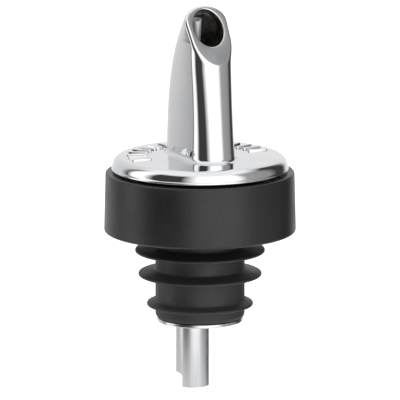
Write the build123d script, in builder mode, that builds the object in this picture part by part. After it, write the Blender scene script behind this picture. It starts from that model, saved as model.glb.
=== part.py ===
from build123d import *
import os
from math import cos, radians, sin

os.makedirs("parts", exist_ok=True)

# A free-flow liquor pourer. Origin on the stopper axis, in the plane of the collar's underside,
# which rests on the bottle's lip. +Z is up, out of the bottle, and +X is the way it pours.
# All sizes are in millimetres.

# ---------------------------------------------------------------- driving dimensions

# collar
collar_height = 12.1
collar_top_radius = 18.9
collar_foot_radius = 19.2
collar_edge_round = 0.5

# flange of the spout
flange_radius = 17.75
flange_height = 2.8
flange_rim_round = 2.0
flange_web = 1.3
flange_rim_wall = 1.6
flange_gap = 0.4

# blade of the spout: a round back that sweeps forward; its front leans back to a waist,
# where it is flatter, and the mouth is cut above that
blade_height = 30.7
blade_waist_half_width = 4.3
blade_width_flare = 1.9
blade_width_waist = 0.4
blade_back_foot = -8.9
blade_back_sweep = 9.7
blade_back_power = 3
blade_front_foot = 9.5
blade_front_lean = 1.5
blade_front_flare = 17.0
blade_front_waist = 0.6
blade_sections = 8
blade_overrun = 0.3
blade_nose_flattening = 0.2
blade_shortest_side = 0.05
foot_fillet = 0.6

# mouth: the oblique face that the blade is cut to, down from its tip
mouth_slope = 58.5

# liquor channel inside the blade, and the oval port that opens it through the mouth's face
side_wall = 1.0
back_wall = 1.3
front_wall = 2.0
mouth_wall = 1.6
port_half_width = 3.3
port_half_length = 4.05
port_tip_wall = 1.0
port_depth = 2.4

# raised marks on the flange
mark_height = 0.3
mark_length = 4.2
mark_width = 0.9
mark_circle_radius = 12.6
mark_count = 17
mark_sector = 190.0

# stem: the tube that carries the stopper
stem_radius = 7.3
stem_wall = 0.75
spigot_length = 4.5
spigot_wall = 1.0

# stopper
stopper_body_radius = 8.95
stopper_length = 17.6
stopper_head_radius = 12.0
stopper_head_height = 4.0
stopper_nose_round = 0.8
fin_radii = (13.0, 12.35, 10.65)
fin_first_drop = 3.6
fin_middle_share = 0.4404
fin_last_lift = 3.1
fin_root_thickness = 1.3
fin_rim_thickness = 0.5
fin_droop = 0.35
fin_bury = 1.0

# inlet plate on the stopper's lower end
plate_radius = 8.6
plate_thickness = 0.7
plate_spigot_length = 2.0
plate_spigot_wall = 0.6
inlet_clearance = 0.6

# breather tube and the fine air tube that goes on from it
breather_radius = 3.35
breather_wall = 0.5
breather_stem_clearance = 0.1
breather_below_plate = 13.9
breather_top = 3.0
notch_height = 2.8
notch_reach = 1.3
notch_corner = 0.9
air_tube_radius = 1.0
air_tube_wall = 0.25
air_tube_below_tip = 2.8
air_tube_lean_rise = 11.7
air_tube_back_gap = 0.62
air_tube_side = -1.5
air_tube_bend = 30.0
reducer_length = 5.0
reducer_head = 0.8

# fits
turning_fit = 0.05
seat_gap = 0.05
collar_fit = 0.05

# how near an edge must lie to a level to count as lying in it
level_tolerance = 0.001

# ---------------------------------------------------------------- places worked out from them

flange_foot = collar_height + flange_gap
flange_top = flange_foot + flange_height
blade_root = flange_top - flange_web / 2
blade_tip = flange_top + blade_height
stem_bore_radius = stem_radius - stem_wall
stem_top = flange_top - flange_web
stem_foot = -stopper_length
spigot_foot = stem_top - spigot_length
spigot_bore_radius = stem_bore_radius - spigot_wall
plate_foot = stem_foot - plate_thickness
breather_foot = plate_foot - breather_below_plate
breather_offset = breather_radius + breather_stem_clearance - stem_bore_radius
stopper_bore_radius = stem_radius + turning_fit
stopper_top = stem_top - seat_gap
stopper_foot = stem_foot + seat_gap
head_foot = stopper_top - stopper_head_height
fin_last_drop = stopper_length - fin_last_lift
fin_middle_drop = fin_first_drop + fin_middle_share * (fin_last_drop - fin_first_drop)
fin_drops = (fin_first_drop, fin_middle_drop, fin_last_drop)
air_tube_top = blade_tip - air_tube_below_tip
air_tube_lean_start = flange_top + air_tube_lean_rise


def rise_share(height):
    """How far up the blade a level is, from 0 at the flange to 1 at the tip."""
    return (height - flange_top) / blade_height


def blade_half_width(height):
    from_waist = rise_share(height) - blade_width_waist
    return blade_waist_half_width + blade_width_flare * from_waist**2


def blade_back(height):
    return blade_back_foot + blade_back_sweep * rise_share(height) ** blade_back_power


def blade_nose_ratio(height):
    """How far the front of a section bulges, as a share of its half-width."""
    return 1 - blade_nose_flattening * min(max(rise_share(height) / blade_front_waist, 0), 1)


def blade_front(height):
    rise = rise_share(height)
    above_waist = max(rise - blade_front_waist, 0)
    full_nose = blade_front_foot - blade_front_lean * rise + blade_front_flare * above_waist**2
    return full_nose - (1 - blade_nose_ratio(height)) * blade_half_width(height)


def blade_outline(height, back_inset=0, front_inset=0, side_inset=0):
    """A section of the blade: half-round back, straight sides and half an ellipse in front."""
    half_width = blade_half_width(height) - side_inset
    nose = blade_nose_ratio(height) * half_width
    back_centre = blade_back(height) + back_inset + half_width
    nose_centre = max(blade_front(height) - front_inset - nose, back_centre + blade_shortest_side)
    with BuildSketch() as outline:
        with BuildLine():
            ThreePointArc(
                (back_centre, half_width), (back_centre - half_width, 0), (back_centre, -half_width)
            )
            Line((back_centre, -half_width), (nose_centre, -half_width))
            EllipticalCenterArc((nose_centre, 0), nose, half_width, start_angle=-90, arc_size=180)
            Line((nose_centre, half_width), (back_centre, half_width))
        make_face()
    return outline.sketch


def levels(low, high, count):
    return [low + (high - low) * step / (count - 1) for step in range(count)]


mouth_plane = Plane(
    origin=(blade_back(blade_tip), 0, blade_tip),
    x_dir=(0, 1, 0),
    z_dir=(sin(radians(mouth_slope)), 0, cos(radians(mouth_slope))),
)

# ---------------------------------------------------------------- spout

# the liquor channel: it follows the blade's walls and stops short of the mouth's face
with BuildPart() as channel:
    for level in levels(stem_top, blade_tip + blade_overrun, blade_sections):
        with BuildSketch(Plane.XY.offset(level)):
            add(blade_outline(level, back_wall, front_wall, side_wall))
    loft()
    split(bisect_by=mouth_plane.offset(-mouth_wall), keep=Keep.BOTTOM)

with BuildPart() as spout:
    # the blade, from inside the flange to above the mouth, then cut to the mouth's slope
    for level in levels(blade_root, blade_tip + blade_overrun, blade_sections):
        with BuildSketch(Plane.XY.offset(level)):
            add(blade_outline(level))
    loft()
    split(bisect_by=mouth_plane, keep=Keep.BOTTOM)

    # the flange, a shallow cap with a rounded rim
    with BuildSketch(Plane.XZ):
        with BuildLine():
            Line((0, flange_top), (flange_radius - flange_rim_round, flange_top))
            JernArc(
                (flange_radius - flange_rim_round, flange_top),
                (1, 0),
                flange_rim_round,
                -90,
            )
            Line((flange_radius, flange_top - flange_rim_round), (flange_radius, flange_foot))
            Line((flange_radius, flange_foot), (flange_radius - flange_rim_wall, flange_foot))
            Line(
                (flange_radius - flange_rim_wall, flange_foot),
                (flange_radius - flange_rim_wall, stem_top),
            )
            Line((flange_radius - flange_rim_wall, stem_top), (0, stem_top))
            Line((0, stem_top), (0, flange_top))
        make_face()
    revolve(axis=Axis.Z)
    foot_edges = edges().filter_by(
        lambda edge: abs(edge.center().Z - flange_top) < level_tolerance
        and edge.bounding_box().size.Z < level_tolerance
        and edge.bounding_box().max.X < blade_front(flange_top) + foot_fillet
        and edge.bounding_box().max.Y < blade_half_width(flange_top) + foot_fillet
    )
    fillet(foot_edges, foot_fillet)

    # the spigot that presses into the stem
    with BuildSketch(Plane.XY.offset(spigot_foot)):
        Circle(stem_bore_radius)
    extrude(amount=spigot_length)

    # the way through: the bore of the spigot, the channel and the mouth's port
    with BuildSketch(Plane.XY.offset(spigot_foot)):
        Circle(spigot_bore_radius)
    extrude(amount=spigot_length, mode=Mode.SUBTRACT)
    add(channel.part, mode=Mode.SUBTRACT)
    with BuildSketch(mouth_plane):
        with Locations((0, -port_tip_wall - port_half_length)):
            Ellipse(port_half_width, port_half_length)
    extrude(amount=-port_depth, mode=Mode.SUBTRACT)

    # raised marks round the flange, clear of the pouring side
    first_mark = 180 - mark_sector / 2
    with BuildSketch(Plane.XY.offset(flange_top)):
        with PolarLocations(mark_circle_radius, mark_count, first_mark, mark_sector):
            SlotOverall(mark_length, mark_width)
    extrude(amount=mark_height)
spout.part.label = "spout"
export_step(spout.part, "parts/spout.step")

# ---------------------------------------------------------------- stem

with BuildPart() as stem:
    with BuildSketch(Plane.XY.offset(stem_foot)):
        Circle(stem_radius)
        Circle(stem_bore_radius, mode=Mode.SUBTRACT)
    extrude(amount=stem_top - stem_foot)
stem.part.label = "stem"
export_step(stem.part, "parts/stem.step")

# ---------------------------------------------------------------- stopper

with BuildPart() as stopper:
    with BuildSketch(Plane.XY.offset(stopper_foot)):
        Circle(stopper_body_radius)
    extrude(amount=stopper_top - stopper_foot)
    with BuildSketch(Plane.XY.offset(head_foot)):
        Circle(stopper_head_radius)
    extrude(amount=stopper_head_height)
    for fin_radius, fin_drop in zip(fin_radii, fin_drops):
        with BuildSketch(Plane.XZ):
            with BuildLine():
                Polyline(
                    (stopper_body_radius - fin_bury, fin_root_thickness / 2 - fin_drop),
                    (stopper_body_radius, fin_root_thickness / 2 - fin_drop),
                    (fin_radius, fin_rim_thickness / 2 - fin_droop - fin_drop),
                    (fin_radius, -fin_rim_thickness / 2 - fin_droop - fin_drop),
                    (stopper_body_radius, -fin_root_thickness / 2 - fin_drop),
                    (stopper_body_radius - fin_bury, -fin_root_thickness / 2 - fin_drop),
                    close=True,
                )
            make_face()
        revolve(axis=Axis.Z)
    nose_edge = edges().filter_by(GeomType.CIRCLE).group_by(Axis.Z)[0]
    fillet(nose_edge, stopper_nose_round)
    with BuildSketch(Plane.XY.offset(stopper_foot)):
        Circle(stopper_bore_radius)
    extrude(amount=stopper_top - stopper_foot, mode=Mode.SUBTRACT)
stopper.part.label = "stopper"
export_step(stopper.part, "parts/stopper.step")

# ---------------------------------------------------------------- collar

with BuildPart() as collar:
    with BuildSketch(Plane.XZ):
        with BuildLine():
            Polyline(
                (0, 0),
                (collar_foot_radius, 0),
                (collar_top_radius, collar_height),
                (0, collar_height),
                close=True,
            )
        make_face()
    revolve(axis=Axis.Z)
    fillet(edges().filter_by(GeomType.CIRCLE), collar_edge_round)
    with BuildSketch(Plane.XY):
        Circle(stopper_body_radius + collar_fit)
    extrude(amount=collar_height, mode=Mode.SUBTRACT)
    with BuildSketch(Plane.XY.offset(head_foot)):
        Circle(stopper_head_radius + collar_fit)
    extrude(amount=collar_height, mode=Mode.SUBTRACT)
collar.part.label = "collar"
export_step(collar.part, "parts/collar.step")

# ---------------------------------------------------------------- inlet plate

with BuildPart() as inlet_plate:
    with BuildSketch(Plane.XY.offset(plate_foot)):
        Circle(plate_radius)
    extrude(amount=plate_thickness)
    with BuildSketch(Plane.XY.offset(stem_foot)):
        Circle(stem_bore_radius)
        Circle(stem_bore_radius - plate_spigot_wall, mode=Mode.SUBTRACT)
    extrude(amount=plate_spigot_length)
    inlet_radius = stem_bore_radius - plate_spigot_wall
    inlet_edge = breather_offset + breather_radius + inlet_clearance
    with BuildSketch(Plane.XY.offset(plate_foot)):
        Circle(inlet_radius)
        with Locations((inlet_edge - inlet_radius, 0)):
            Rectangle(2 * inlet_radius, 2 * inlet_radius, mode=Mode.SUBTRACT)
        with Locations((breather_offset, 0)):
            Circle(breather_radius)
    extrude(amount=plate_thickness + plate_spigot_length, mode=Mode.SUBTRACT)
inlet_plate.part.label = "inlet_plate"
export_step(inlet_plate.part, "parts/inlet_plate.step")

# ---------------------------------------------------------------- breather tube

with BuildPart() as breather_tube:
    with BuildSketch(Plane.XY.offset(breather_foot)):
        with Locations((breather_offset, 0)):
            Circle(breather_radius)
            Circle(breather_radius - breather_wall, mode=Mode.SUBTRACT)
    extrude(amount=breather_top - breather_foot)
    with BuildSketch(Plane.XZ):
        with Locations((breather_offset + notch_reach - 2 * breather_radius, breather_foot)):
            notch = Rectangle(4 * breather_radius, 2 * notch_height)
        fillet(notch.vertices(), notch_corner)
    extrude(amount=2 * breather_radius, both=True, mode=Mode.SUBTRACT)
breather_tube.part.label = "breather_tube"
export_step(breather_tube.part, "parts/breather_tube.step")

# ---------------------------------------------------------------- tube reducer

with BuildPart() as tube_reducer:
    with BuildSketch(Plane.XY.offset(breather_top)):
        with Locations((breather_offset, 0)):
            Circle(breather_radius)
    extrude(amount=reducer_head)
    with BuildSketch(Plane.XY.offset(breather_top)):
        with Locations((breather_offset, 0)):
            Circle(breather_radius - breather_wall)
    extrude(amount=-reducer_length)
    with BuildSketch(Plane.XY.offset(breather_top - reducer_length)):
        with Locations((breather_offset, 0)):
            Circle(air_tube_radius)
    extrude(amount=reducer_length + reducer_head, mode=Mode.SUBTRACT)
tube_reducer.part.label = "tube_reducer"
export_step(tube_reducer.part, "parts/tube_reducer.step")

# ---------------------------------------------------------------- air tube

air_tube_reach = blade_back(air_tube_top) + back_wall + air_tube_back_gap + air_tube_radius

with BuildPart() as air_tube:
    with BuildLine() as air_path:
        FilletPolyline(
            (breather_offset, 0, breather_top - reducer_length),
            (breather_offset, 0, air_tube_lean_start),
            (air_tube_reach, air_tube_side, air_tube_top),
            radius=air_tube_bend,
        )
    with BuildSketch(Plane(air_path.line @ 0, z_dir=air_path.line % 0)):
        Circle(air_tube_radius)
        Circle(air_tube_radius - air_tube_wall, mode=Mode.SUBTRACT)
    sweep()
air_tube.part.label = "air_tube"
export_step(air_tube.part, "parts/air_tube.step")
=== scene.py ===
from math import cos, hypot, pi, radians, sin, tan

import bmesh
import bpy
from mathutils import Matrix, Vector


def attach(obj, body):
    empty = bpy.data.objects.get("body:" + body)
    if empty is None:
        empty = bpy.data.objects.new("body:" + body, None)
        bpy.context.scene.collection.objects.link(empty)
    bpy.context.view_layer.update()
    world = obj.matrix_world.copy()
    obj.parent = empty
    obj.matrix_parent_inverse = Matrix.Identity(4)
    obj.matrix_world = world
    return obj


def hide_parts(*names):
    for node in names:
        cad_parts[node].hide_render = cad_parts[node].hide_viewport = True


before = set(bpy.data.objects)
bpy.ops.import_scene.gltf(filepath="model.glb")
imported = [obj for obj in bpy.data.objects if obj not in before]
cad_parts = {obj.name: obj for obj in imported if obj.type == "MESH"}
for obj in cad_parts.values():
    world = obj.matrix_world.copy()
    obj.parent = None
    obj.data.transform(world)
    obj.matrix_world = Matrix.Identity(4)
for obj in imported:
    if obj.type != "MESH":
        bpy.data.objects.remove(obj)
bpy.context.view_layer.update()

# A free-flow liquor pourer. Lengths are given in millimetres and turned into metres by MM.
MM = 0.001
TINY = 0.002 * MM
CUT_THRESHOLD = TINY / 10
BEVEL_ANGLE = radians(40)
RING = 128

# flange of the spout
FLANGE_RADIUS = 17.75 * MM
FLANGE_TOP = 15.3 * MM
FLANGE_FOOT = 12.5 * MM
FLANGE_UNDERSIDE = 14.0 * MM
FLANGE_RIM_ROUND = 1.95 * MM
FLANGE_NECK = 17.5 * MM
LIP_RADIUS = 0.35 * MM
LIP_TURNS = (-70, -45, -20, 0, 20, 40, 60)
FLANGE_RIM_BORE = 16.15 * MM
RIM_STEPS = 14

# blade of the spout
BLADE_HEIGHT = 30.7 * MM
WAIST_HALF_WIDTH = 4.3 * MM
WIDTH_FLARE = 1.9 * MM
WIDTH_WAIST = 0.4
BACK_FOOT = -8.9 * MM
BACK_SWEEP = 9.7 * MM
BACK_POWER = 3
FRONT_FOOT = 9.5 * MM
FRONT_LEAN = 1.5 * MM
FRONT_FLARE = 17.0 * MM
FRONT_WAIST = 0.6
NOSE_FLATTENING = 0.2
SHORTEST_SIDE = 0.05 * MM
FOOT_FILLET = 0.9 * MM
FOOT_STEPS = 6
BLADE_LEVELS = 38
BLADE_OVERRUN = 0.3 * MM

# mouth, and the liquor's channel behind it
MOUTH_SLOPE = radians(58.5)
MOUTH_ROUND = 0.6 * MM
LIP_STEPS = 7
TIP_LEAN = 0.2
NOSE_INSET = 0.4
MERGE = 0.008 * MM
NEAR = 0.02 * MM
MOUTH_WALL = 1.6 * MM
PORT_HALF_WIDTH = 3.3 * MM
PORT_HALF_LENGTH = 4.05 * MM
PORT_TIP_WALL = 1.0 * MM
PORT_ROUND = 0.2 * MM
PORT_STEPS = 4
PORT_VERTICES = 96
PORT_EDGE_DEPTH = 1.5 * PORT_ROUND
FACE_IN_MOUTH = 0.995
SIDE_WALL = 1.0 * MM
BACK_WALL = 1.3 * MM
FRONT_WALL = 2.0 * MM
SPIGOT_FOOT = 9.5 * MM
SPIGOT_RADIUS = 6.55 * MM
SPIGOT_BORE = 5.55 * MM
CHANNEL_LEVELS = 16

# plain raised bars round the back of the flange
BAR_LENGTH = 4.2 * MM
BAR_WIDTH = 0.9 * MM
BAR_HEIGHT = 0.3 * MM
BAR_SINK = 0.4 * BAR_HEIGHT
BAR_END_ROUND = 0.42 * BAR_WIDTH
BAR_TOP_ROUND = 0.55 * BAR_HEIGHT
BAR_CIRCLE = 12.6 * MM
BAR_COUNT = 17
BAR_SECTOR = 190.0

# camera
CAMERA_TURN = 61.0
CAMERA_RISE = 11.5
CAMERA_DISTANCE = 1.4
VIEW_WIDTH = 0.080
LOOK_AT = Vector((0.0, 0.0, 0.0062))

# floor
FLOOR_SIZE = 30
FLOOR_HEIGHT = -0.25


# ---------------------------------------------------------------- hands

def object_mode():
    if bpy.context.object and bpy.context.object.mode != "OBJECT":
        bpy.ops.object.mode_set(mode="OBJECT")


def choose(*pieces):
    object_mode()
    bpy.ops.object.select_all(action="DESELECT")
    for piece in pieces:
        piece.select_set(True)
    bpy.context.view_layer.objects.active = pieces[-1] if pieces else None


def edit(piece):
    choose(piece)
    bpy.ops.object.mode_set(mode="EDIT")


def pick(kind, test):
    """Select the vertices, edges or faces of the piece in hand that pass the test."""
    bpy.ops.mesh.select_mode(type=kind)
    bpy.ops.mesh.select_all(action="DESELECT")
    mesh = bmesh.from_edit_mesh(bpy.context.object.data)
    parts = {"VERT": mesh.verts, "EDGE": mesh.edges, "FACE": mesh.faces}[kind]
    for part in parts:
        if test(part):
            part.select_set(True)
    mesh.select_flush_mode()
    bmesh.update_edit_mesh(bpy.context.object.data)


def new_ring(name, radius, height, vertices=RING):
    """A piece starts as a circle, turned half a step so that no vertex lies on an axis."""
    choose()
    bpy.ops.mesh.primitive_circle_add(
        vertices=vertices, radius=radius, location=(0, 0, height), rotation=(0, 0, pi / vertices)
    )
    piece = bpy.context.object
    piece.name = piece.data.name = name
    bpy.ops.object.transform_apply(location=True, rotation=True, scale=True)
    bpy.ops.object.mode_set(mode="EDIT")
    bpy.ops.mesh.select_all(action="SELECT")
    return piece


def pull(offset):
    bpy.ops.mesh.extrude_region_move(TRANSFORM_OT_translate={"value": tuple(offset)})


def turn_profile(points):
    """Draw the selected ring through (radius, height) points about Z."""
    for (radius, height), (new_radius, new_height) in zip(points, points[1:]):
        pull((0, 0, new_height - height))
        if new_radius != radius:
            share = new_radius / radius
            bpy.ops.transform.resize(value=(share, share, 1), center_override=(0, 0, new_height))


def bridge_open_loops():
    pick("EDGE", lambda edge: len(edge.link_faces) < 2)
    bpy.ops.mesh.bridge_edge_loops()


def round_loops(loops, width, segments):
    """Bevel whole loops about Z, each given by its radius and height."""

    def on_a_loop(edge):
        return any(
            all(
                abs(vertex.co.z - height) < TINY
                and abs(hypot(vertex.co.x, vertex.co.y) - radius) < TINY
                for vertex in edge.verts
            )
            for radius, height in loops
        )

    pick("EDGE", on_a_loop)
    bpy.ops.mesh.bevel(offset=width, segments=segments, affect="EDGES", profile=0.5)


def finish_mesh(piece, smooth_angle=35):
    edit(piece)
    bpy.ops.mesh.select_all(action="SELECT")
    bpy.ops.mesh.remove_doubles(threshold=TINY)
    bpy.ops.mesh.normals_make_consistent(inside=False)
    choose(piece)
    bpy.ops.object.shade_smooth_by_angle(angle=radians(smooth_angle))


def cut_away(piece, cutter):
    choose(piece)
    modifier = piece.modifiers.new("cut", "BOOLEAN")
    modifier.operation = "DIFFERENCE"
    modifier.object = cutter
    modifier.solver = "EXACT"
    bpy.ops.object.modifier_apply(modifier=modifier.name)
    choose(cutter)
    bpy.ops.object.delete()
    choose(piece)


def apply_bevel(piece, width, segments):
    choose(piece)
    modifier = piece.modifiers.new("edges", "BEVEL")
    modifier.width = width
    modifier.segments = segments
    modifier.limit_method = "ANGLE"
    modifier.angle_limit = BEVEL_ANGLE
    bpy.ops.object.modifier_apply(modifier=modifier.name)


# ---------------------------------------------------------------- sections of the blade

class Outline:
    """A closed outline of a half-round back, straight sides and half an ellipse in front."""

    def __init__(self, back_x, nose_x, radius, nose):
        self.back_x, self.nose_x, self.radius, self.nose = back_x, nose_x, radius, nose

    def grown(self, amount):
        return Outline(self.back_x, self.nose_x, self.radius + amount, self.nose + amount)


def disc(radius):
    return Outline(0, 0, radius, radius)


def blade_section(height, back_wall=0.0, front_wall=0.0, side_wall=0.0):
    rise = (height - FLANGE_TOP) / BLADE_HEIGHT
    ratio = 1 - NOSE_FLATTENING * min(max(rise / FRONT_WAIST, 0), 1)
    half_width = WAIST_HALF_WIDTH + WIDTH_FLARE * (rise - WIDTH_WAIST) ** 2
    front = FRONT_FOOT - FRONT_LEAN * rise + FRONT_FLARE * max(rise - FRONT_WAIST, 0) ** 2
    front -= (1 - ratio) * half_width
    radius = half_width - side_wall
    back_x = BACK_FOOT + BACK_SWEEP * rise**BACK_POWER + back_wall + radius
    nose = ratio * radius
    nose_x = max(front - front_wall - nose, back_x + SHORTEST_SIDE)
    return Outline(back_x, nose_x, radius, nose)


def draw_ring(old, new, old_height, new_height):
    """Extrude the selected ring to a new level, then move and size its back and front."""
    pull((0, 0, new_height - old_height))
    mesh = bmesh.from_edit_mesh(bpy.context.object.data)
    level = [(vertex.index, vertex.co.x) for vertex in mesh.verts if vertex.select]
    middle = (old.back_x + old.nose_x) / 2
    wider, deeper = new.radius / old.radius, new.nose / old.nose
    halves = (
        ([number for number, x in level if x < middle], old.back_x, new.back_x, wider),
        ([number for number, x in level if x > middle], old.nose_x, new.nose_x, deeper),
    )
    for half, centre, new_centre, longer in halves:
        select_vertices(half)
        bpy.ops.transform.resize(value=(longer, wider, 1), center_override=(centre, 0, new_height))
        bpy.ops.transform.translate(value=(new_centre - centre, 0, 0))
    select_vertices([number for number, x in level])


def select_vertices(indices):
    bpy.ops.mesh.select_mode(type="VERT")
    bpy.ops.mesh.select_all(action="DESELECT")
    mesh = bmesh.from_edit_mesh(bpy.context.object.data)
    mesh.verts.ensure_lookup_table()
    for index in indices:
        mesh.verts[index].select_set(True)
    mesh.select_flush_mode()
    bmesh.update_edit_mesh(bpy.context.object.data)


# ---------------------------------------------------------------- the mouth's plane

MOUTH_NORMAL = Vector((sin(MOUTH_SLOPE), 0, cos(MOUTH_SLOPE)))
DOWN_MOUTH = Vector((cos(MOUTH_SLOPE), 0, -sin(MOUTH_SLOPE)))
MOUTH_TIP = Vector((BACK_FOOT + BACK_SWEEP, 0, FLANGE_TOP + BLADE_HEIGHT))


def above_mouth(point):
    return (point - MOUTH_TIP).dot(MOUTH_NORMAL)


def cut_along_mouth(depth):
    bpy.ops.mesh.select_mode(type="VERT")
    bpy.ops.mesh.select_all(action="SELECT")
    bpy.ops.mesh.bisect(
        plane_co=tuple(MOUTH_TIP - MOUTH_NORMAL * depth),
        plane_no=tuple(MOUTH_NORMAL),
        clear_outer=True,
        threshold=CUT_THRESHOLD,
    )


def merge_close(distance):
    bpy.ops.mesh.select_all(action="SELECT")
    bpy.ops.mesh.remove_doubles(threshold=distance)


# ---------------------------------------------------------------- spout

def levels(low, high, count):
    return [low + (high - low) * step / (count - 1) for step in range(count)]


def open_loop_at(depth):
    """Edges of one face that lie this far under the mouth's plane."""
    return lambda edge: len(edge.link_faces) < 2 and all(
        abs(above_mouth(vertex.co) + depth) < NEAR for vertex in edge.verts
    )


def round_the_lip():
    """Roll the open top of the blade over, up to the mouth's plane, in steps of a quarter turn."""
    pick("EDGE", open_loop_at(MOUTH_ROUND))
    mesh = bmesh.from_edit_mesh(bpy.context.object.data)
    loop = [vertex.co - MOUTH_TIP for vertex in mesh.verts if vertex.select]
    tip, nose = min(at.dot(DOWN_MOUTH) for at in loop), max(at.dot(DOWN_MOUTH) for at in loop)
    width = max(abs(at.y) for at in loop)
    rise, inset = 0.0, 0.0
    for step in range(1, LIP_STEPS + 1):
        turn = pi / 2 * step / LIP_STEPS
        new_rise, new_inset = MOUTH_ROUND * sin(turn), MOUTH_ROUND * (1 - cos(turn))
        more_rise, more_inset = new_rise - rise, new_inset - inset
        new_tip = tip + more_inset - more_rise * TIP_LEAN
        new_nose = nose - more_inset * NOSE_INSET - more_rise * tan(MOUTH_SLOPE)
        pull(MOUTH_NORMAL * more_rise)
        along, across = (new_nose - new_tip) / (nose - tip), (width - more_inset) / width
        pivot = MOUTH_TIP + DOWN_MOUTH * tip + MOUTH_NORMAL * (new_rise - MOUTH_ROUND)
        bpy.ops.transform.resize(value=(along, across, along), center_override=pivot)
        bpy.ops.transform.translate(value=DOWN_MOUTH * (new_tip - tip))
        tip, nose, width, rise, inset = new_tip, new_nose, width - more_inset, new_rise, new_inset


def spout_outside():
    piece = new_ring("spout_shell", SPIGOT_RADIUS, SPIGOT_FOOT)
    rim_centre = FLANGE_NECK - FLANGE_RIM_ROUND
    lip_x, lip_z = FLANGE_RADIUS - LIP_RADIUS, FLANGE_FOOT + LIP_RADIUS
    profile = [
        (SPIGOT_RADIUS, SPIGOT_FOOT),
        (SPIGOT_RADIUS, FLANGE_UNDERSIDE),
        (FLANGE_RIM_BORE, FLANGE_UNDERSIDE),
        (FLANGE_RIM_BORE, FLANGE_FOOT),
        (lip_x, FLANGE_FOOT),
    ]
    for degrees_up in LIP_TURNS:
        turn = radians(degrees_up)
        profile.append((lip_x + LIP_RADIUS * cos(turn), lip_z + LIP_RADIUS * sin(turn)))
    profile.append((FLANGE_NECK, FLANGE_TOP - FLANGE_RIM_ROUND))
    for step in range(1, RIM_STEPS + 1):
        turn = pi / 2 * step / RIM_STEPS
        profile.append(
            (
                rim_centre + FLANGE_RIM_ROUND * cos(turn),
                FLANGE_TOP - FLANGE_RIM_ROUND * (1 - sin(turn)),
            )
        )
    turn_profile(profile)
    foot = blade_section(FLANGE_TOP)
    section, height = disc(rim_centre), FLANGE_TOP
    rings = [(foot.grown(FOOT_FILLET), FLANGE_TOP)]
    for step in range(1, FOOT_STEPS + 1):
        turn = pi / 2 * step / FOOT_STEPS
        level = FLANGE_TOP + FOOT_FILLET * (1 - cos(turn))
        rings.append((blade_section(level).grown(FOOT_FILLET * (1 - sin(turn))), level))
    first = FLANGE_TOP + FOOT_FILLET
    last = FLANGE_TOP + BLADE_HEIGHT + BLADE_OVERRUN
    rings += [(blade_section(level), level) for level in levels(first, last, BLADE_LEVELS)[1:]]
    for new_section, level in rings:
        draw_ring(section, new_section, height, level)
        section, height = new_section, level
    cut_along_mouth(MOUTH_ROUND)
    merge_close(MERGE)
    round_the_lip()
    cut_port()
    object_mode()
    return piece


def cut_port():
    """The oval port: drawn in the mouth's face, rolled over its edge and pulled through the wall."""
    length, width = PORT_HALF_LENGTH + PORT_ROUND, PORT_HALF_WIDTH + PORT_ROUND
    centre = MOUTH_TIP + DOWN_MOUTH * (PORT_TIP_WALL + PORT_HALF_LENGTH)
    bpy.ops.mesh.select_all(action="DESELECT")
    bpy.ops.mesh.primitive_circle_add(
        vertices=PORT_VERTICES, radius=length, location=centre, rotation=(0, MOUTH_SLOPE, 0)
    )
    bpy.ops.transform.resize(value=(1, width / length, 1), center_override=centre)
    pick("EDGE", open_loop_at(0))
    bpy.ops.mesh.fill()
    pick("EDGE", open_loop_at(0))
    depth = 0.0
    for step in range(1, PORT_STEPS + 1):
        turn = pi / 2 * step / PORT_STEPS
        new_depth, shrink = PORT_ROUND * (1 - cos(turn)), PORT_ROUND * sin(turn)
        new_length = PORT_HALF_LENGTH + PORT_ROUND - shrink
        new_width = PORT_HALF_WIDTH + PORT_ROUND - shrink
        pull(MOUTH_NORMAL * (depth - new_depth))
        along, across = new_length / length, new_width / width
        bpy.ops.transform.resize(
            value=(along, across, along), center_override=centre - MOUTH_NORMAL * new_depth
        )
        depth, length, width = new_depth, new_length, new_width
    pull(MOUTH_NORMAL * (depth - MOUTH_WALL))


def spout_inside():
    piece = new_ring("channel", SPIGOT_BORE, SPIGOT_FOOT)
    turn_profile([(SPIGOT_BORE, SPIGOT_FOOT), (SPIGOT_BORE, FLANGE_UNDERSIDE)])
    section, height = disc(SPIGOT_BORE), FLANGE_UNDERSIDE
    last = FLANGE_TOP + BLADE_HEIGHT + BLADE_OVERRUN
    for level in levels(FLANGE_UNDERSIDE, last, CHANNEL_LEVELS):
        new_section = blade_section(level, BACK_WALL, FRONT_WALL, SIDE_WALL)
        draw_ring(section, new_section, height, level)
        section, height = new_section, level
    cut_along_mouth(MOUTH_WALL)
    merge_close(MERGE)
    object_mode()
    return piece


def inside_channel(point):
    """Whether a point lies on the channel's wall, clear of the blade's outer skin."""
    if point.z < FLANGE_UNDERSIDE + TINY or above_mouth(point) > -PORT_EDGE_DEPTH:
        return False
    skin = blade_section(max(point.z, FLANGE_TOP))
    behind, ahead = min(point.x - skin.back_x, 0), max(point.x - skin.nose_x, 0)
    reach = hypot(point.y, behind, ahead * skin.radius / skin.nose)
    return reach < skin.radius - SIDE_WALL / 2


def spout_shell():
    outside = spout_outside()
    inside = spout_inside()
    choose(inside, outside)
    bpy.ops.object.join()
    edit(outside)
    pick("EDGE", open_loop_at(MOUTH_WALL))
    bpy.ops.mesh.fill()
    pick(
        "EDGE",
        lambda edge: len(edge.link_faces) < 2
        and all(abs(vertex.co.z - SPIGOT_FOOT) < NEAR for vertex in edge.verts),
    )
    bpy.ops.mesh.bridge_edge_loops()
    object_mode()
    finish_mesh(outside, 40)
    return outside


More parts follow.
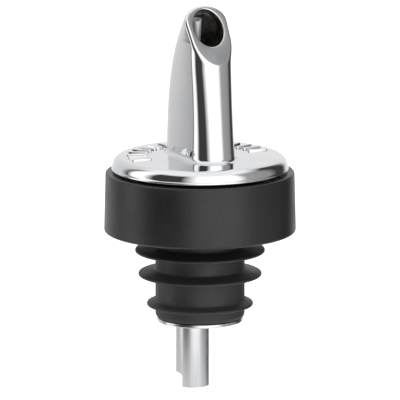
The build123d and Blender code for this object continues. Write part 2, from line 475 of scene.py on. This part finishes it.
def flange_marks():
    """Plain raised bars: one is modelled, then copied round the flange."""
    choose()
    bpy.ops.mesh.primitive_cube_add(size=1, location=(BAR_CIRCLE, 0, FLANGE_TOP + BAR_HEIGHT / 2))
    bar = bpy.context.object
    bar.name = bar.data.name = "flange_marks"
    bar.scale = (BAR_LENGTH, BAR_WIDTH, BAR_HEIGHT + BAR_SINK)
    bpy.ops.transform.translate(value=(0, 0, -BAR_SINK / 2))
    bpy.ops.object.transform_apply(location=True, rotation=True, scale=True)
    bpy.ops.object.mode_set(mode="EDIT")
    pick("EDGE", lambda edge: abs(edge.verts[0].co.z - edge.verts[1].co.z) > BAR_HEIGHT / 2)
    bpy.ops.mesh.bevel(offset=BAR_END_ROUND, segments=6, affect="EDGES", profile=0.5)
    top = FLANGE_TOP + BAR_HEIGHT
    pick(
        "EDGE",
        lambda edge: all(abs(vertex.co.z - top) < TINY for vertex in edge.verts)
        and any(abs(face.normal.z) < 0.5 for face in edge.link_faces),
    )
    bpy.ops.mesh.bevel(offset=BAR_TOP_ROUND, segments=3, affect="EDGES", profile=0.5)
    object_mode()
    bars = [bar]
    start = pi - radians(BAR_SECTOR) / 2
    step = radians(BAR_SECTOR) / BAR_COUNT
    for number in range(1, BAR_COUNT):
        choose(bar)
        bpy.ops.object.duplicate(linked=False)
        copy = bpy.context.object
        copy.rotation_euler = (0, 0, start + step * number)
        bpy.ops.object.transform_apply(location=False, rotation=True, scale=False)
        bars.append(copy)
    choose(bar)
    bar.rotation_euler = (0, 0, start)
    bpy.ops.object.transform_apply(location=False, rotation=True, scale=False)
    choose(*reversed(bars))
    bpy.ops.object.join()
    finish_mesh(bar)
    return bar


# ---------------------------------------------------------------- turned pieces

def collar_ring():
    foot_bore, head_bore = 9.0 * MM, 12.05 * MM
    foot_radius, top_radius, height, seat = 19.2 * MM, 18.9 * MM, 12.1 * MM, 9.95 * MM
    piece = new_ring("collar_ring", foot_bore, 0)
    turn_profile(
        [
            (foot_bore, 0),
            (foot_radius, 0),
            (top_radius, height),
            (head_bore, height),
            (head_bore, seat),
            (foot_bore, seat),
        ]
    )
    bridge_open_loops()
    round_loops([(foot_radius, 0), (top_radius, height)], 0.5 * MM, 5)
    round_loops([(foot_bore, 0), (head_bore, height)], 0.15 * MM, 2)
    object_mode()
    finish_mesh(piece)
    return piece


FINS = ((10.65 * MM, 14.5 * MM), (12.35 * MM, 8.4 * MM), (13.0 * MM, 3.6 * MM))


def stopper_plug():
    bore, body, head = 7.35 * MM, 8.95 * MM, 12.0 * MM
    foot, head_foot, top = -17.55 * MM, 9.95 * MM, 13.95 * MM
    half_root, half_rim, droop = 0.65 * MM, 0.25 * MM, 0.35 * MM
    profile = [(bore, foot), (body, foot)]
    roots, rims = [], []
    for fin_radius, drop in FINS:
        roots += [(body, -drop - half_root), (body, -drop + half_root)]
        rims += [(fin_radius, -drop - droop - half_rim), (fin_radius, -drop - droop + half_rim)]
        profile += [roots[-2], rims[-2], rims[-1], roots[-1]]
    profile += [(body, head_foot), (head, head_foot), (head, top), (bore, top)]
    piece = new_ring("stopper_plug", bore, foot)
    turn_profile(profile)
    bridge_open_loops()
    round_loops([(body, foot)], 0.8 * MM, 5)
    round_loops(rims, 0.2 * MM, 3)
    round_loops(roots, 0.5 * MM, 4)
    object_mode()
    finish_mesh(piece)
    return piece


TUBE_OFFSET = -3.1 * MM
TUBE_RADIUS = 3.35 * MM
TUBE_BORE = 2.85 * MM
TUBE_FOOT = -32.2 * MM
TUBE_TOP = 3.0 * MM


def cutting_cylinder(radius, centre, depth):
    choose()
    bpy.ops.mesh.primitive_cylinder_add(vertices=RING, radius=radius, depth=depth, location=centre)
    bpy.ops.object.transform_apply(location=True, rotation=True, scale=True)
    return bpy.context.object


def end_plate():
    radius, foot, seat = 8.6 * MM, -18.3 * MM, -17.6 * MM
    spigot_radius, spigot_bore, spigot_top = 6.55 * MM, 5.95 * MM, -15.6 * MM
    inlet_edge = TUBE_OFFSET + TUBE_RADIUS + 0.6 * MM
    core, core_reach = 0.5 * MM, 0.55 * MM
    piece = new_ring("end_plate", core, foot)
    turn_profile(
        [
            (core, foot),
            (radius, foot),
            (radius, seat),
            (spigot_radius, seat),
            (spigot_radius, spigot_top),
            (spigot_bore, spigot_top),
            (spigot_bore, seat),
            (core, seat),
        ]
    )
    for level in (foot, seat):
        pick(
            "EDGE",
            lambda edge: all(
                abs(vertex.co.z - level) < TINY and hypot(vertex.co.x, vertex.co.y) < core_reach
                for vertex in edge.verts
            ),
        )
        bpy.ops.mesh.edge_face_add()
    bpy.ops.mesh.select_all(action="SELECT")
    bpy.ops.mesh.normals_make_consistent(inside=False)
    round_loops([(radius, foot), (radius, seat)], 0.14 * MM, 3)
    object_mode()
    depth = 6 * MM
    tube_hole = cutting_cylinder(TUBE_RADIUS, (TUBE_OFFSET, 0, seat), depth)
    cut_away(piece, tube_hole)
    port = cutting_cylinder(spigot_bore, (0, 0, seat), depth)
    edit(port)
    bpy.ops.mesh.select_all(action="SELECT")
    bpy.ops.mesh.bisect(
        plane_co=(inlet_edge, 0, 0), plane_no=(-1, 0, 0), clear_outer=True, use_fill=True
    )
    object_mode()
    cut_away(piece, port)
    finish_mesh(piece)
    return piece


def lower_tube():
    piece = new_ring("lower_tube", TUBE_RADIUS, TUBE_FOOT)
    turn_profile(
        [
            (TUBE_RADIUS, TUBE_FOOT),
            (TUBE_RADIUS, TUBE_TOP),
            (TUBE_BORE, TUBE_TOP),
            (TUBE_BORE, TUBE_FOOT),
        ]
    )
    bridge_open_loops()
    bpy.ops.mesh.select_all(action="SELECT")
    bpy.ops.transform.translate(value=(TUBE_OFFSET, 0, 0))
    bpy.ops.mesh.normals_make_consistent(inside=False)
    object_mode()

    # the notch in the tube's back, with a rounded corner
    notch_edge, notch_height = TUBE_OFFSET + 1.3 * MM, 2.8 * MM
    reach, width = 8 * MM, 12 * MM
    choose()
    bpy.ops.mesh.primitive_cube_add(size=1, location=(notch_edge - reach / 2, 0, TUBE_FOOT))
    cutter = bpy.context.object
    cutter.scale = (reach, width, 2 * notch_height)
    bpy.ops.object.transform_apply(location=True, rotation=True, scale=True)
    bpy.ops.object.mode_set(mode="EDIT")
    pick(
        "EDGE",
        lambda edge: abs(edge.verts[0].co.y - edge.verts[1].co.y) > width / 2
        and edge.verts[0].co.x > notch_edge - TINY
        and edge.verts[0].co.z > TUBE_FOOT,
    )
    bpy.ops.mesh.bevel(offset=0.9 * MM, segments=8, affect="EDGES", profile=0.5)
    object_mode()
    cut_away(piece, cutter)
    apply_bevel(piece, 0.07 * MM, 2)
    finish_mesh(piece)
    return piece


# ---------------------------------------------------------------- materials

def new_material(name):
    material = bpy.data.materials.new(name)
    material.use_nodes = True
    return material, material.node_tree, material.node_tree.nodes["Principled BSDF"]


def surface_noise(tree, scale, detail=3.0, stretch=(1, 1, 1), roughness=0.5):
    coordinates = tree.nodes.new("ShaderNodeTexCoord")
    mapping = tree.nodes.new("ShaderNodeMapping")
    mapping.inputs["Scale"].default_value = stretch
    noise = tree.nodes.new("ShaderNodeTexNoise")
    noise.inputs["Scale"].default_value = scale
    noise.inputs["Detail"].default_value = detail
    noise.inputs["Roughness"].default_value = roughness
    tree.links.new(coordinates.outputs["Object"], mapping.inputs["Vector"])
    tree.links.new(mapping.outputs["Vector"], noise.inputs["Vector"])
    return noise.outputs["Fac"]


def spread(tree, value, low, high, start=0.3, end=0.7):
    spreader = tree.nodes.new("ShaderNodeMapRange")
    spreader.inputs["From Min"].default_value = start
    spreader.inputs["From Max"].default_value = end
    spreader.inputs["To Min"].default_value = low
    spreader.inputs["To Max"].default_value = high
    tree.links.new(value, spreader.inputs["Value"])
    return spreader.outputs["Result"]


def tinted(tree, share, dark, light):
    mixer = tree.nodes.new("ShaderNodeMix")
    mixer.data_type = "RGBA"
    mixer.inputs["A"].default_value = (*dark, 1)
    mixer.inputs["B"].default_value = (*light, 1)
    tree.links.new(share, mixer.inputs["Factor"])
    return mixer.outputs["Result"]


def raised(tree, height, depth, below=None, strength=1.0):
    bump = tree.nodes.new("ShaderNodeBump")
    bump.inputs["Strength"].default_value = strength
    bump.inputs["Distance"].default_value = depth
    tree.links.new(height, bump.inputs["Height"])
    if below:
        tree.links.new(below, bump.inputs["Normal"])
    return bump.outputs["Normal"]


def polished_chrome():
    material, tree, shader = new_material("polished_chrome")
    shader.inputs["Metallic"].default_value = 1.0
    haze = surface_noise(tree, 420, 4)
    tree.links.new(spread(tree, haze, 0.025, 0.06), shader.inputs["Roughness"])
    tone = surface_noise(tree, 160, 2)
    tree.links.new(
        tinted(tree, spread(tree, tone, 0, 1), (0.80, 0.81, 0.83), (0.86, 0.86, 0.87)),
        shader.inputs["Base Color"],
    )
    swell = raised(tree, surface_noise(tree, 110, 1), 0.03 * MM, strength=0.35)
    grain = raised(tree, surface_noise(tree, 2600, 3), 0.002 * MM, swell, 0.25)
    tree.links.new(grain, shader.inputs["Normal"])
    return material


def satin_cut_face():
    material, tree, shader = new_material("satin_cut_face")
    shader.inputs["Metallic"].default_value = 1.0
    grain = surface_noise(tree, 900, 3, (1, 6, 1))
    tree.links.new(
        tinted(tree, spread(tree, grain, 0, 1), (0.40, 0.41, 0.43), (0.47, 0.48, 0.50)),
        shader.inputs["Base Color"],
    )
    tree.links.new(spread(tree, grain, 0.34, 0.46), shader.inputs["Roughness"])
    tree.links.new(raised(tree, grain, 0.01 * MM, strength=0.4), shader.inputs["Normal"])
    return material


# The channel's inner wall: rough cast metal whose colour is darkened nearly to black as painted
# shade for the deep, unlit inside of the channel
def shaded_cast_inside():
    material, tree, shader = new_material("shaded_cast_inside")
    shader.inputs["Metallic"].default_value = 0.85
    patches = surface_noise(tree, 500, 4)
    # dark base colour: painted shade inside the channel, with random lighter patches
    tree.links.new(
        tinted(tree, spread(tree, patches, 0, 1), (0.09, 0.08, 0.075), (0.30, 0.28, 0.25)),
        shader.inputs["Base Color"],
    )
    tree.links.new(spread(tree, patches, 0.22, 0.5), shader.inputs["Roughness"])
    lumps = surface_noise(tree, 1500, 3)
    tree.links.new(raised(tree, lumps, 0.08 * MM, strength=0.6), shader.inputs["Normal"])
    return material


def tin_plate():
    material, tree, shader = new_material("tin_plate")
    shader.inputs["Metallic"].default_value = 1.0
    clouds = surface_noise(tree, 700, 4)
    tree.links.new(
        tinted(tree, spread(tree, clouds, 0, 1), (0.70, 0.71, 0.72), (0.80, 0.80, 0.80)),
        shader.inputs["Base Color"],
    )
    tree.links.new(spread(tree, clouds, 0.14, 0.28), shader.inputs["Roughness"])
    tree.links.new(raised(tree, clouds, 0.01 * MM, strength=0.3), shader.inputs["Normal"])
    return material


def satin_aluminium():
    material, tree, shader = new_material("satin_aluminium")
    shader.inputs["Metallic"].default_value = 1.0
    draw_lines = surface_noise(tree, 3000, 3, (1, 1, 0.03))
    clouds = surface_noise(tree, 250, 3)
    tree.links.new(
        tinted(tree, spread(tree, draw_lines, 0, 1), (0.66, 0.67, 0.68), (0.80, 0.80, 0.81)),
        shader.inputs["Base Color"],
    )
    tree.links.new(spread(tree, clouds, 0.26, 0.36), shader.inputs["Roughness"])
    tree.links.new(raised(tree, draw_lines, 0.01 * MM, strength=0.3), shader.inputs["Normal"])
    return material


def satin_tin():
    material, tree, shader = new_material("satin_tin")
    shader.inputs["Metallic"].default_value = 0.6
    clouds = surface_noise(tree, 900, 3, (1, 1, 0.1))
    tree.links.new(
        tinted(tree, spread(tree, clouds, 0, 1), (0.80, 0.80, 0.80), (0.92, 0.92, 0.92)),
        shader.inputs["Base Color"],
    )
    tree.links.new(spread(tree, clouds, 0.35, 0.5), shader.inputs["Roughness"])
    tree.links.new(raised(tree, clouds, 0.005 * MM, strength=0.3), shader.inputs["Normal"])
    return material


def moulded_black(name, dark, light, rough_low, rough_high, speckle, depth):
    material, tree, shader = new_material(name)
    fine = surface_noise(tree, speckle, 3, roughness=0.7)
    broad = surface_noise(tree, 200, 3)
    tree.links.new(tinted(tree, spread(tree, fine, 0, 1), dark, light), shader.inputs["Base Color"])
    tree.links.new(spread(tree, broad, rough_low, rough_high), shader.inputs["Roughness"])
    swell = raised(tree, broad, 0.02 * MM, strength=0.3)
    tree.links.new(raised(tree, fine, depth, swell, 0.6), shader.inputs["Normal"])
    return material


# ---------------------------------------------------------------- studio

# a plain studio for bright metal: a few broad soft boxes round the object with dark gaps between
# them, given as the angle from the camera (to its right) and the brightness
PANELS = (
    (-180, 0.85), (-125, 0.7), (-110, 0.1), (-100, 1.2), (-80, 1.2), (-65, 0.05), (-25, 0.05),
    (0, 1.4), (50, 1.4), (65, 0.4), (105, 0.3), (120, 0.05), (140, 0.05), (155, 0.85),
    (180, 0.85),
)
OVERHEAD = 1.0
UNDERNEATH = 0.9


def panel_ring(tree, share, panels):
    ramp = tree.nodes.new("ShaderNodeValToRGB")
    bar = ramp.color_ramp.elements
    for spare in list(bar)[1:]:
        bar.remove(spare)
    for number, (angle, light) in enumerate(panels):
        place = (angle + 180) / 360
        stop = bar[0] if number == 0 else bar.new(place)
        stop.position = place
        stop.color = (light, light, light, 1)
    tree.links.new(share, ramp.inputs["Fac"])
    return ramp.outputs["Color"]


def fade(tree, height, low, high, below, above):
    mixer = tree.nodes.new("ShaderNodeMix")
    mixer.data_type = "RGBA"
    tree.links.new(spread(tree, height, 0, 1, low, high), mixer.inputs["Factor"])
    for socket, value in (("A", below), ("B", above)):
        if isinstance(value, bpy.types.NodeSocket):
            tree.links.new(value, mixer.inputs[socket])
        else:
            mixer.inputs[socket].default_value = (value, value, value, 1)
    return mixer.outputs["Result"]


def studio_light():
    world = bpy.data.worlds.new("studio")
    bpy.context.scene.world = world
    world.use_nodes = True
    tree = world.node_tree
    coordinates = tree.nodes.new("ShaderNodeTexCoord")
    parts = tree.nodes.new("ShaderNodeSeparateXYZ")
    tree.links.new(coordinates.outputs["Generated"], parts.inputs["Vector"])
    turn = tree.nodes.new("ShaderNodeMath")
    turn.operation = "ARCTAN2"
    tree.links.new(parts.outputs["Y"], turn.inputs[0])
    tree.links.new(parts.outputs["X"], turn.inputs[1])
    share = tree.nodes.new("ShaderNodeMath")
    share.operation = "MULTIPLY_ADD"
    share.inputs[1].default_value = 1 / (2 * pi)
    share.inputs[2].default_value = (90 - CAMERA_TURN + 180) / 360
    tree.links.new(turn.outputs[0], share.inputs[0])
    wrapped = tree.nodes.new("ShaderNodeMath")
    wrapped.operation = "FRACT"
    tree.links.new(share.outputs[0], wrapped.inputs[0])
    ring = panel_ring(tree, wrapped.outputs[0], PANELS)
    height = parts.outputs["Z"]
    ring = fade(tree, height, 0.7, 0.85, ring, OVERHEAD)
    ring = fade(tree, height, -0.5, -0.36, UNDERNEATH, ring)
    tree.links.new(ring, tree.nodes["Background"].inputs["Color"])


def pale_floor():
    choose()
    bpy.ops.mesh.primitive_plane_add(size=FLOOR_SIZE, location=(0, 0, FLOOR_HEIGHT))
    floor = bpy.context.object
    floor.name = "floor"
    floor.visible_glossy = False
    floor.visible_diffuse = False
    material = bpy.data.materials.new("pale_floor")
    material.use_nodes = True
    shader = material.node_tree.nodes["Principled BSDF"]
    shader.inputs["Base Color"].default_value = (0.9, 0.9, 0.9, 1)
    shader.inputs["Emission Color"].default_value = (1, 1, 1, 1)
    shader.inputs["Emission Strength"].default_value = 0.6
    floor.data.materials.append(material)


def camera():
    turn, rise = radians(CAMERA_TURN), radians(CAMERA_RISE)
    back = Vector((sin(turn) * cos(rise), -cos(turn) * cos(rise), sin(rise)))
    bpy.ops.object.camera_add(location=LOOK_AT + back * CAMERA_DISTANCE)
    cam = bpy.context.object
    cam.rotation_mode = "QUATERNION"
    cam.rotation_quaternion = (-back).to_track_quat("-Z", "Y")
    cam.data.sensor_width = 36
    cam.data.lens = 36 * CAMERA_DISTANCE / VIEW_WIDTH
    cam.data.clip_start, cam.data.clip_end = 0.1, 100
    bpy.context.scene.camera = cam


# ---------------------------------------------------------------- build

def fit_out(piece, body, material, nodes):
    piece.data.materials.clear()
    piece.data.materials.append(material)
    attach(piece, body)
    for node in nodes:
        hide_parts(node)


def paint_faces(piece, number, test):
    """Give the faces that pass the test the piece's material of that number."""
    edit(piece)
    pick("FACE", test)
    piece.active_material_index = number
    bpy.ops.object.material_slot_assign()
    object_mode()


chrome, tin, aluminium = polished_chrome(), tin_plate(), satin_aluminium()
collar_black = moulded_black(
    "collar_black", (0.007, 0.007, 0.007), (0.03, 0.03, 0.03), 0.3, 0.4, 5200, 0.02 * MM
)
rubber = moulded_black(
    "stopper_rubber", (0.022, 0.022, 0.023), (0.04, 0.04, 0.041), 0.45, 0.6, 2400, 0.02 * MM
)
plug_black = moulded_black(
    "black_plastic", (0.03, 0.03, 0.03), (0.05, 0.05, 0.05), 0.4, 0.5, 2000, 0.01 * MM
)

shell = spout_shell()
fit_out(shell, "pourer", chrome, ["spout"])
shell.data.materials.append(satin_cut_face())
# material 2 is the darkened cast finish: painted shade for the channel's inside
shell.data.materials.append(shaded_cast_inside())
paint_faces(
    shell,
    1,
    lambda face: face.normal.dot(MOUTH_NORMAL) > FACE_IN_MOUTH
    and abs(above_mouth(face.calc_center_median())) < NEAR,
)
# the channel's wall gets the darkened cast finish, painted shade for the recess
paint_faces(shell, 2, lambda face: inside_channel(face.calc_center_median()))
fit_out(flange_marks(), "pourer", chrome, [])
fit_out(collar_ring(), "stopper_set", collar_black, ["collar"])
fit_out(stopper_plug(), "stopper_set", rubber, ["stopper"])
fit_out(end_plate(), "pourer", tin, ["inlet_plate"])
fit_out(lower_tube(), "pourer", aluminium, ["breather_tube"])
for node, material in (("stem", tin), ("air_tube", satin_tin()), ("tube_reducer", plug_black)):
    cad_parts[node].data.materials.clear()
    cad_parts[node].data.materials.append(material)

bpy.context.scene.view_settings.view_transform = "Standard"
studio_light()
pale_floor()
camera()
